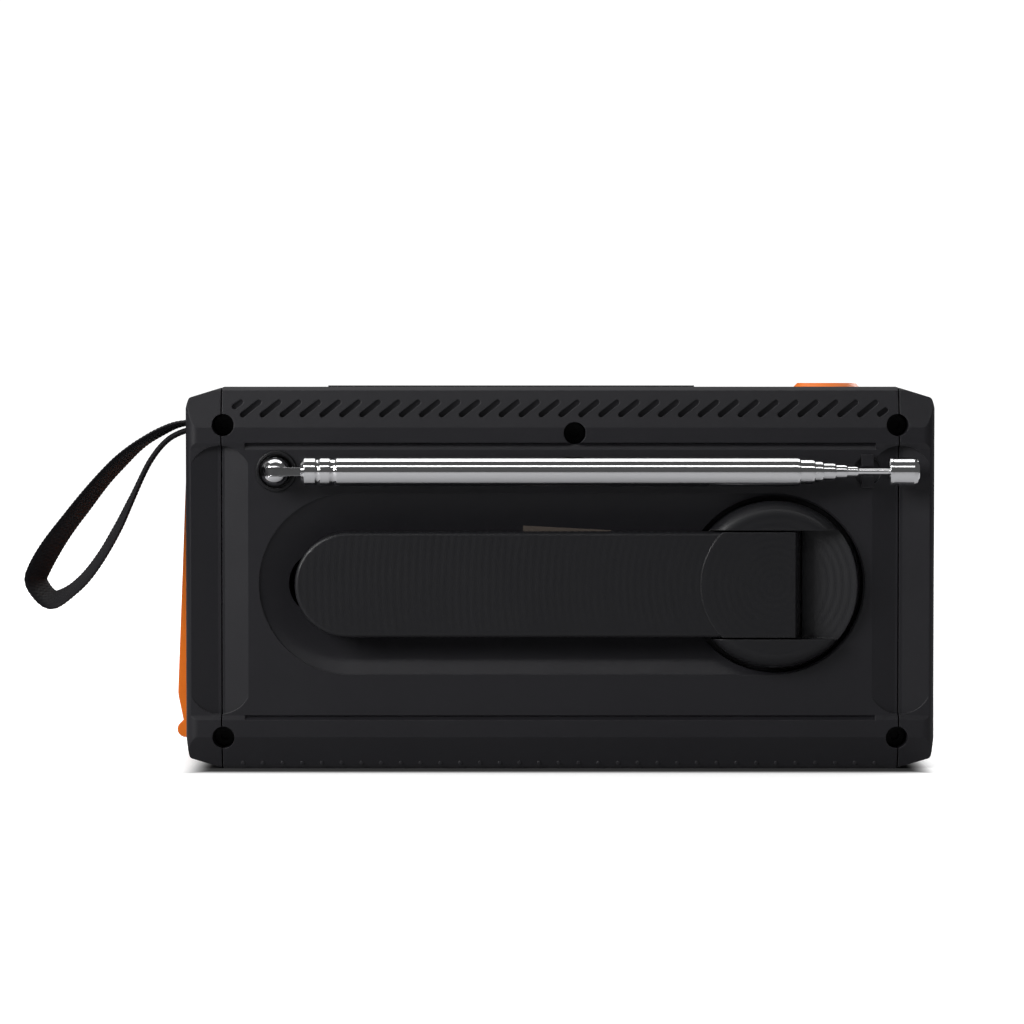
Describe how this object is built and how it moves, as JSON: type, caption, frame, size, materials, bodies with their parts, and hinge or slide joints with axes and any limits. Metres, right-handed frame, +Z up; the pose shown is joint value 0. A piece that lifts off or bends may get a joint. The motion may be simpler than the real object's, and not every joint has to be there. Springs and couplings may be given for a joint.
{
  "type": "emergency radio",
  "caption": "Portable emergency radio with folding crank dynamo, telescopic swivel antenna, solar panel, speaker, socket cover and wrist strap.",
  "frame": {"origin": "middle of the flat base, halfway between the end caps", "axes": "+Z up, +X towards the wrist strap and socket cover, +Y out of the rear face that holds the crank and antenna, -Y out of the loudspeaker face"},
  "size_m": [0.2127, 0.073, 0.0909],
  "materials": {
    "case_black": "fine moulded texture",
    "crank_black": "fine moulded texture",
    "grille_black": "satin",
    "key_grey": "satin",
    "signal_orange": "satin",
    "orange_rubber": "matt",
    "webbing": "woven",
    "chrome": "polished",
    "collar_black": "satin",
    "steel": "plain",
    "black_oxide": "blackened",
    "rotor_steel": "ground",
    "brass": "plain",
    "gear_nylon": "moulded",
    "solar_cells": "laminated",
    "solar_rim": "satin",
    "lens_clear": "clear",
    "lens_smoke": "polished",
    "lcd": "polarised film",
    "reflector": "vacuum metallised",
    "circuit_board": "solder mask",
    "black_moulding": "moulded",
    "cell_sleeve": "shrink sleeve",
    "ferrite": "sintered",
    "speaker_metal": "pressed",
    "cone_paper": "pulp",
    "sticker": "paper"
  },
  "bodies": {
    "case": {"front_case": "case_black", "rear_cover": "case_black", "strap_end_cap": "case_black", "lamp_end_cap": "case_black", "speaker_grille": "grille_black", "lamp_bezel": "grille_black", "wrist_strap": "webbing", "antenna_collar": "collar_black", "gearbox_plate": "steel", "strap_pin": "steel", "usb_a_port": "steel", "usb_c_port": "steel", "generator_stator": "steel", "case_screws": "black_oxide", "shaft_bushing": "brass", "solar_panel": "solar_cells", "solar_frame": "solar_rim", "lamp_lens": "lens_clear", "display_lens": "lens_smoke", "lcd_module": "lcd", "lamp_reflector": "reflector", "main_board": "circuit_board", "socket_board": "circuit_board", "sos_switch": "circuit_board", "lamp_emitter": "circuit_board", "battery_holder": "black_moulding", "siren": "black_moulding", "headphone_jack": "black_moulding", "dial_controls": "black_moulding", "battery_cells": "cell_sleeve", "ferrite_aerial": "ferrite", "speaker_frame": "speaker_metal", "speaker_cone": "cone_paper", "blank_label": "sticker"},
    "sos_button": {"sos_button": "signal_orange"},
    "power_key": {"power_key": "key_grey"},
    "band_key": {"band_key": "key_grey"},
    "seek_down_key": {"seek_down_key": "key_grey"},
    "seek_up_key": {"seek_up_key": "key_grey"},
    "tuning_dial": {"tuning_knob": "crank_black"},
    "volume_dial": {"volume_knob": "crank_black"},
    "socket_flap": {"port_cover": "orange_rubber"},
    "mast_base": {"antenna_base": "chrome", "antenna_pivot_pin": "steel"},
    "mast_1": {"antenna_section_1": "chrome"},
    "mast_2": {"antenna_section_2": "chrome"},
    "mast_3": {"antenna_section_3": "chrome"},
    "mast_4": {"antenna_section_4": "chrome"},
    "mast_5": {"antenna_section_5": "chrome"},
    "mast_6": {"antenna_section_6": "chrome"},
    "mast_tip": {"antenna_tip": "chrome"},
    "crank_hub": {"crank_hub": "crank_black", "crank_pin": "black_oxide", "crank_shaft": "steel", "crank_gear": "gear_nylon"},
    "crank_arm": {"crank_arm": "crank_black", "knob_rivet": "steel"},
    "crank_knob": {"crank_knob": "crank_black"},
    "idler": {"idler_gear": "gear_nylon"},
    "rotor": {"generator_rotor": "rotor_steel"}
  },
  "joints": [
    {"name": "sos_press", "type": "slide", "parent": "case", "child": "sos_button", "axis": [0, 0, -1], "range_m": [0, 0.001]},
    {"name": "power_press", "type": "slide", "parent": "case", "child": "power_key", "axis": [0, 1, 0], "range_m": [0, 0.0005]},
    {"name": "band_press", "type": "slide", "parent": "case", "child": "band_key", "axis": [0, 1, 0], "range_m": [0, 0.0005]},
    {"name": "seek_down_press", "type": "slide", "parent": "case", "child": "seek_down_key", "axis": [0, 1, 0], "range_m": [0, 0.0005]},
    {"name": "seek_up_press", "type": "slide", "parent": "case", "child": "seek_up_key", "axis": [0, 1, 0], "range_m": [0, 0.0005]},
    {"name": "tuning_turn", "type": "hinge", "parent": "case", "child": "tuning_dial", "pos_m": [0.02, -0.03, 0.0195], "axis": [0, -1, 0], "continuous": true},
    {"name": "volume_turn", "type": "hinge", "parent": "case", "child": "volume_dial", "pos_m": [0.05, -0.03, 0.0195], "axis": [0, -1, 0], "range_deg": [-150, 150]},
    {"name": "flap_open", "type": "hinge", "parent": "case", "child": "socket_flap", "pos_m": [0.0889, -0.0045, 0.0714], "axis": [0, -1, 0], "range_deg": [0, 100]},
    {"name": "antenna_swivel", "type": "hinge", "parent": "case", "child": "mast_base", "pos_m": [0.0666, 0.033, 0.0702], "axis": [0, 1, 0], "range_deg": [0, 270]},
    {"name": "antenna_tilt", "type": "hinge", "parent": "mast_base", "child": "mast_1", "pos_m": [0.0666, 0.033, 0.0702], "axis": [0, 0, -1], "range_deg": [0, 90]},
    {"name": "antenna_pull_1", "type": "slide", "parent": "mast_1", "child": "mast_2", "axis": [-1, 0, 0], "range_m": [0, 0.095]},
    {"name": "antenna_pull_2", "type": "slide", "parent": "mast_2", "child": "mast_3", "axis": [-1, 0, 0], "range_m": [0, 0.095]},
    {"name": "antenna_pull_3", "type": "slide", "parent": "mast_3", "child": "mast_4", "axis": [-1, 0, 0], "range_m": [0, 0.095]},
    {"name": "antenna_pull_4", "type": "slide", "parent": "mast_4", "child": "mast_5", "axis": [-1, 0, 0], "range_m": [0, 0.095]},
    {"name": "antenna_pull_5", "type": "slide", "parent": "mast_5", "child": "mast_6", "axis": [-1, 0, 0], "range_m": [0, 0.095]},
    {"name": "antenna_pull_6", "type": "slide", "parent": "mast_6", "child": "mast_tip", "axis": [-1, 0, 0], "range_m": [0, 0.095]},
    {"name": "crank_unfold", "type": "hinge", "parent": "crank_hub", "child": "crank_arm", "pos_m": [-0.0503, 0.0305, 0.0437], "axis": [0, 0, 1], "range_deg": [0, 165]},
    {"name": "crank_spin", "type": "hinge", "parent": "case", "child": "crank_hub", "pos_m": [-0.0503, 0.02, 0.0437], "axis": [0, 1, 0], "range_deg": [-0.5, 0.5]},
    {"name": "knob_spin", "type": "hinge", "parent": "crank_arm", "child": "crank_knob", "pos_m": [0.055, 0.01, 0.0437], "axis": [0, 1, 0], "continuous": true},
    {"name": "idler_spin", "type": "hinge", "parent": "case", "child": "idler", "pos_m": [-0.0279, 0.01, 0.0437], "axis": [0, 1, 0], "range_deg": [-1.6, 1.6]},
    {"name": "rotor_spin", "type": "hinge", "parent": "case", "child": "rotor", "pos_m": [-0.0279, 0.004, 0.0257], "axis": [0, 1, 0], "range_deg": [-6.2, 6.2]}
  ],
  "couplings": [
    {"joint": "idler_spin", "follows": "crank_spin", "ratio": -3},
    {"joint": "rotor_spin", "follows": "crank_spin", "ratio": 12}
  ]
}
